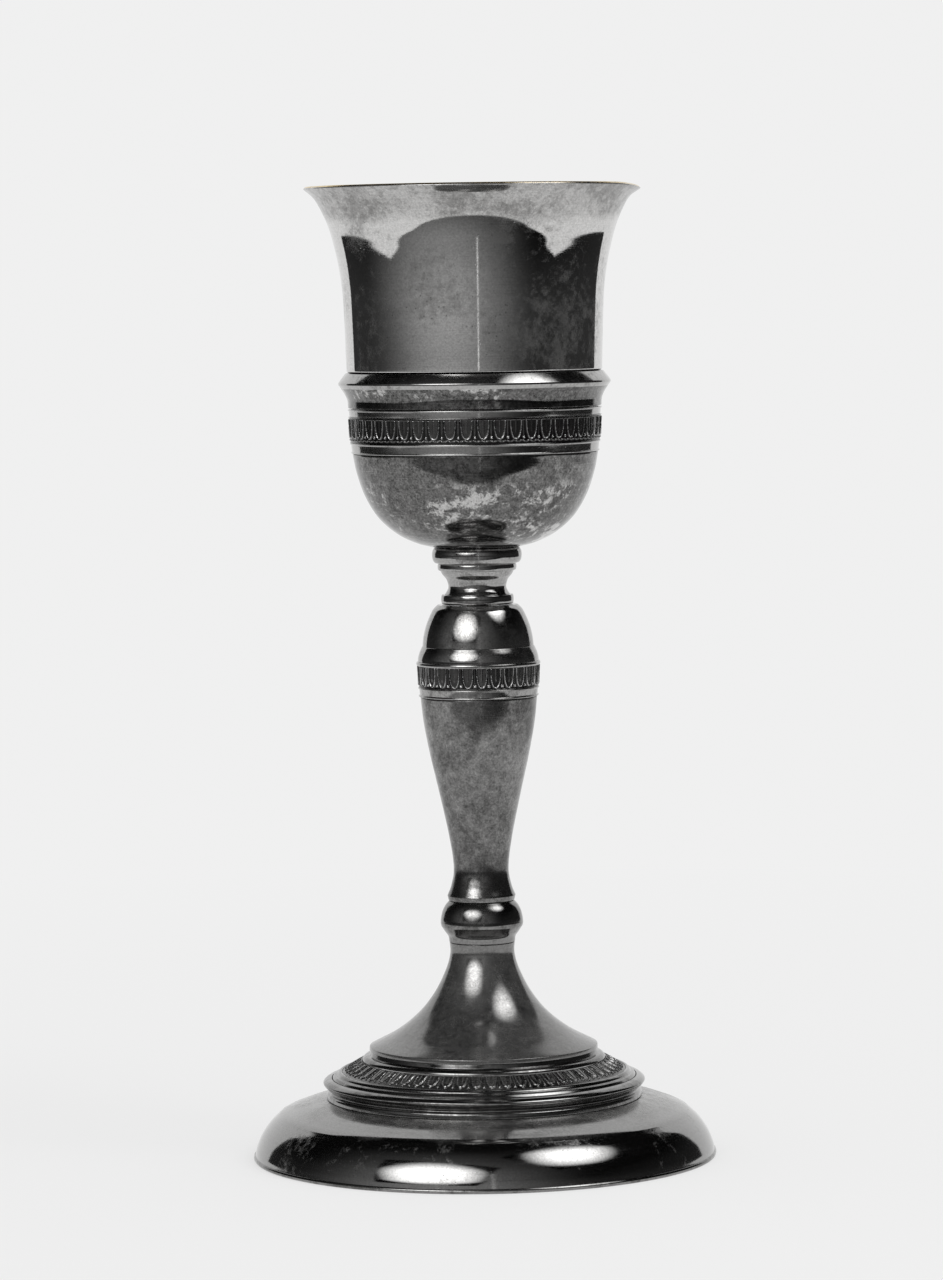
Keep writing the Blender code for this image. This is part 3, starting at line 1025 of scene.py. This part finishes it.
def card(name, corners, strength, soft=False):
    """A shining card that shows only in reflections. A soft one fades out towards its edges."""
    mesh = bpy.data.meshes.new(name)
    mesh.from_pydata(corners, [], [tuple(range(len(corners)))])
    n = Nodes(name)
    glow = n.add("ShaderNodeEmission", {"Strength": strength})
    if soft:
        mesh.uv_layers.new().data.foreach_set("uv", [0, 0, 1, 0, 1, 1, 0, 1])
        from_middle = n.add("ShaderNodeVectorMath", {0: n.uv, 1: (0.5, 0.5, 0)}, operation="SUBTRACT")
        away = n.add("ShaderNodeVectorMath", {0: from_middle.outputs[0]}, operation="LENGTH")
        n.put(n.spread(away.outputs["Value"], 0.15, 0.5, strength, 0.0), glow.inputs["Strength"])
    n.put(glow.outputs["Emission"], n.tree.nodes["Material Output"].inputs["Surface"])
    obj = staged(name, mesh, n.material)
    obj.visible_camera = False
    obj.visible_shadow = False


def upright_card(name, left, right, y, foot, top, strength):
    """A card that stands across the view."""
    corners = [(left, y, foot), (right, y, foot), (right, y, top), (left, y, top)]
    card(name, corners, strength)


def softbox(name, azimuth, elevation, distance, width, height, strength):
    """A soft card that faces the object. Its azimuth is in degrees from the front, and rightwards."""
    middle = Vector((0, 0, 0.12))
    side = math.radians(azimuth)
    up = math.radians(elevation)
    toward = Vector((math.sin(side) * math.cos(up), -math.cos(side) * math.cos(up), math.sin(up)))
    across = Vector((math.cos(side), math.sin(side), 0)) * width / 2
    along = toward.cross(across).normalized() * height / 2
    centre = middle + toward * distance
    corners = [
        centre - across - along,
        centre + across - along,
        centre + across + along,
        centre - across + along,
    ]
    card(name, corners, strength, soft=True)


def reflected_table():
    """The white table and backdrop, for the cup's reflections. The table's front edge is scalloped."""
    right_edge = [(-x, y) for x, y in reversed(TABLE_EDGE)]
    back_edge = [(BACKDROP_X, BACKDROP_Y), (-BACKDROP_X, BACKDROP_Y)]
    outline = TABLE_EDGE + right_edge + back_edge
    card("table_reflection", [(x, y, TABLE_Z) for x, y in outline], CARD)
    upright_card("backdrop_reflection", -BACKDROP_X, BACKDROP_X, BACKDROP_Y, TABLE_Z, BACKDROP_TOP, CARD)


def floor():
    """A pale floor that takes soft shadows near the object and melts into the background farther off.

    It can be seen through from below.
    """
    mesh = bpy.data.meshes.new("floor")
    square = [(-1, -1), (1, -1), (1, 1), (-1, 1)]
    corners = [(FLOOR_HALF * x, FLOOR_HALF * y, FLOOR_Z) for x, y in square]
    mesh.from_pydata(corners, [], [(0, 1, 2, 3)])
    n = Nodes("floor")
    n.put((0.8, 0.8, 0.8, 1), n.shader.inputs["Base Color"])
    n.put(0.9, n.shader.inputs["Roughness"])
    n.put(0.0, n.shader.inputs["Specular IOR Level"])
    shine = n.add("ShaderNodeEmission", {"Color": (WHITE, WHITE, WHITE, 1)}).outputs["Emission"]
    away = n.add("ShaderNodeVectorMath", {0: n.place}, operation="LENGTH").outputs["Value"]
    blend = n.add("ShaderNodeMixShader", {0: n.spread(away, 0.1, 0.7, 0.7, 1.0), 2: shine})
    n.put(n.shader.outputs["BSDF"], blend.inputs[1])
    below = n.add("ShaderNodeNewGeometry").outputs["Backfacing"]
    open_below = n.add("ShaderNodeMixShader", {0: below, 1: blend.outputs["Shader"]})
    n.put(n.add("ShaderNodeBsdfTransparent").outputs["BSDF"], open_below.inputs[2])
    n.put(open_below.outputs["Shader"], n.tree.nodes["Material Output"].inputs["Surface"])
    obj = staged("floor", mesh, n.material)
    obj.visible_glossy = False


def sky_maths(tree, kind, operation, *values):
    """A vector or number operation of the world's shader, with its inputs linked or set."""
    node = tree.nodes.new(kind)
    node.operation = operation
    for socket, value in zip(node.inputs, values):
        if isinstance(value, bpy.types.NodeSocket):
            tree.links.new(value, socket)
        else:
            socket.default_value = value
    return node


def room_light(tree):
    """The dark room: a soft glow in front, which is weak close to the horizon, where a faint haze is."""
    direction = tree.nodes.new("ShaderNodeTexCoord").outputs["Generated"]
    toward = Vector(GLOW_TOWARD).normalized()
    facing = sky_maths(tree, "ShaderNodeVectorMath", "DOT_PRODUCT", direction, toward).outputs["Value"]
    ahead = sky_maths(tree, "ShaderNodeMath", "MAXIMUM", facing, 0.0).outputs[0]
    falloff = sky_maths(tree, "ShaderNodeMath", "POWER", ahead, GLOW_SPREAD).outputs[0]
    height = sky_maths(tree, "ShaderNodeVectorMath", "DOT_PRODUCT", direction, (0, 0, 1)).outputs["Value"]
    steepness = sky_maths(tree, "ShaderNodeMath", "ABSOLUTE", height).outputs[0]
    off_level = sky_maths(tree, "ShaderNodeMath", "MULTIPLY_ADD", steepness, 20.0, -0.6)
    off_level.use_clamp = True
    lobe = sky_maths(tree, "ShaderNodeMath", "MULTIPLY", falloff, off_level.outputs[0]).outputs[0]
    glow = sky_maths(tree, "ShaderNodeMath", "MULTIPLY_ADD", lobe, ROOM_GLOW, ROOM).outputs[0]
    level_share = sky_maths(tree, "ShaderNodeMath", "MULTIPLY_ADD", steepness, -2.2, 1.0).outputs[0]
    near_level = sky_maths(tree, "ShaderNodeMath", "MAXIMUM", level_share, 0.0).outputs[0]
    return sky_maths(tree, "ShaderNodeMath", "MULTIPLY_ADD", near_level, ROOM_HAZE, glow).outputs[0]


def world():
    """Even white light for the floor and the background. Reflections show the dark room."""
    sky = bpy.data.worlds.new("studio")
    bpy.context.scene.world = sky
    sky.use_nodes = True
    tree = sky.node_tree
    room = room_light(tree)
    path = tree.nodes.new("ShaderNodeLightPath")
    level = tree.nodes.new("ShaderNodeMix")
    level.inputs[2].default_value = WHITE
    tree.links.new(room, level.inputs[3])
    tree.links.new(path.outputs["Is Glossy Ray"], level.inputs[0])
    tree.links.new(level.outputs[0], tree.nodes["Background"].inputs["Strength"])
    tree.nodes["Background"].inputs["Color"].default_value = (1, 1, 1, 1)


def shadow_lamp():
    """A large soft lamp from the upper right, for the object's faint shadow on the floor."""
    data = bpy.data.lights.new("shadow_lamp", "AREA")
    data.size = 0.8
    data.energy = 7
    obj = bpy.data.objects.new("shadow_lamp", data)
    bpy.context.scene.collection.objects.link(obj)
    obj.location = (0.9, -0.5, 1.3)
    obj.rotation_euler = Vector(obj.location).to_track_quat("Z", "Y").to_euler()
    obj.visible_camera = False
    obj.visible_glossy = False


def camera():
    """A long lens that looks slightly down. The frame's shift keeps the verticals almost upright."""
    data = bpy.data.cameras.new("camera")
    data.lens = LENS
    data.sensor_width = 36
    data.shift_y = CAMERA_SHIFT
    data.clip_end = 30
    obj = bpy.data.objects.new("camera", data)
    bpy.context.scene.collection.objects.link(obj)
    place = Vector(CAMERA_PLACE)
    aim = Vector(CAMERA_AIM)
    turned = (place - aim).to_track_quat("Z", "Y").to_matrix().to_4x4()
    obj.matrix_world = Matrix.Translation(place) @ turned @ Matrix.Rotation(CAMERA_ROLL, 4, "Z")
    bpy.context.scene.camera = obj


# ---------------------------------------------------------------- the whole scene

silver = tarnished_silver(
    "silver",
    seed=0.31,
    bright=0.44,
    dull=0.22,
    clouds=0.38,
    polish=0.09,
    film=0.15,
    haze=0.08,
    lines=0.000003,
    grit=0.6,
)
hazy = tarnished_silver(
    "hazy_silver",
    seed=3.7,
    bright=0.31,
    dull=0.17,
    clouds=0.75,
    polish=0.10,
    film=0.20,
    haze=0.42,
    soft=0.14,
    lines=0.000003,
)
dark = tarnished_silver(
    "dark_silver",
    seed=8.9,
    bright=0.28,
    dull=0.12,
    clouds=0.45,
    polish=0.10,
    film=0.18,
    haze=0.04,
)
base_silver = tarnished_silver(
    "base_silver",
    seed=5.3,
    bright=0.34,
    dull=0.26,
    clouds=0.20,
    polish=0.08,
    film=0.30,
    haze=0.45,
    soft=0.05,
    thick_above=0.015,
)
satin = tarnished_silver(
    "satin_silver",
    seed=1.7,
    bright=0.34,
    dull=0.10,
    clouds=0.50,
    polish=0.10,
    film=0.22,
    haze=0.10,
    soft=0.07,
    grit=0.75,
)
cup_silver = tarnished_silver(
    "cup_silver",
    seed=2.9,
    bright=0.74,
    dull=0.24,
    clouds=0.24,
    polish=0.035,
    film=0.12,
    haze=0.30,
    soft=0.07,
    thick_above=0.257,
)
calyx_silver = tarnished_silver(
    "calyx_silver",
    seed=4.3,
    bright=0.60,
    dull=0.04,
    clouds=0.66,
    polish=0.08,
    film=0.12,
    haze=0.02,
    soft=0.02,
)
# The belly's flecked tarnish is real. Its full cover above 185 mm (thick_above) is a painted dark
# reflection.
belly_silver_painted_dark_top = tarnished_silver(
    "belly_silver_painted_dark_top",
    seed=4.3,
    bright=0.62,
    dull=0.06,
    clouds=0.62,
    polish=0.08,
    film=0.10,
    haze=0.04,
    soft=0.02,
    thick_above=0.185,
    least=0.9,
)
wire_silver = tarnished_silver(
    "wire_silver",
    seed=5.1,
    bright=0.48,
    dull=0.22,
    clouds=0.30,
    polish=0.10,
    film=0.18,
    haze=0.04,
)
chased = tarnished_silver(
    "chased_silver",
    seed=6.7,
    bright=0.23,
    dull=0.12,
    clouds=0.50,
    polish=0.16,
    film=0.24,
    haze=0.08,
    contrast=0.85,
)
worn_chased = tarnished_silver(
    "worn_chased_silver",
    seed=6.7,
    bright=0.24,
    dull=0.14,
    clouds=0.50,
    polish=0.18,
    film=0.28,
    haze=0.20,
    contrast=0.45,
)
gilt = gilding("worn_gilding")
iron = dull_metal(
    "rod_iron",
    clean=(0.30, 0.29, 0.28, 1),
    dirty=(0.12, 0.08, 0.055, 1),
    low_rough=0.42,
    high_rough=0.75,
    seed=0.4,
)
brass = dull_metal(
    "nut_brass",
    clean=(0.64, 0.50, 0.27, 1),
    dirty=(0.28, 0.20, 0.10, 1),
    low_rough=0.28,
    high_rough=0.6,
    seed=0.9,
)

cup_bowl(cup_silver, gilt)
calyx_sheet(belly_silver_painted_dark_top)
calyx_rim(wire_silver, calyx_silver)
calyx_bands(wire_silver, chased)
neck(silver)
knop_top(silver)
knop_bands(silver, chased)
knop_body(satin)
lower_knop(dark)
foot_trumpet(hazy)
foot_step(dark, worn_chased)
foot_mouldings(dark)
base(base_silver, dark)
tie_rod(iron)
bearing_plate(brass)
foot_nut(brass)
for slot in frame["nodes"]["cup_boss"].material_slots:
    slot.material = wire_silver

floor()
reflected_table()
world()
upright_card("slit_reflection", SLIT_LEFT, SLIT_RIGHT, SLIT_Y, SLIT_FOOT, SLIT_TOP, SLIT_GLOW)
softbox("left_softbox", azimuth=-30, elevation=32, distance=1.5, width=1.55, height=1.25, strength=5.5)
softbox("right_softbox", azimuth=66, elevation=54, distance=1.5, width=1.2, height=1.05, strength=4.5)
shadow_lamp()
camera()
bpy.context.scene.view_settings.view_transform = "Standard"
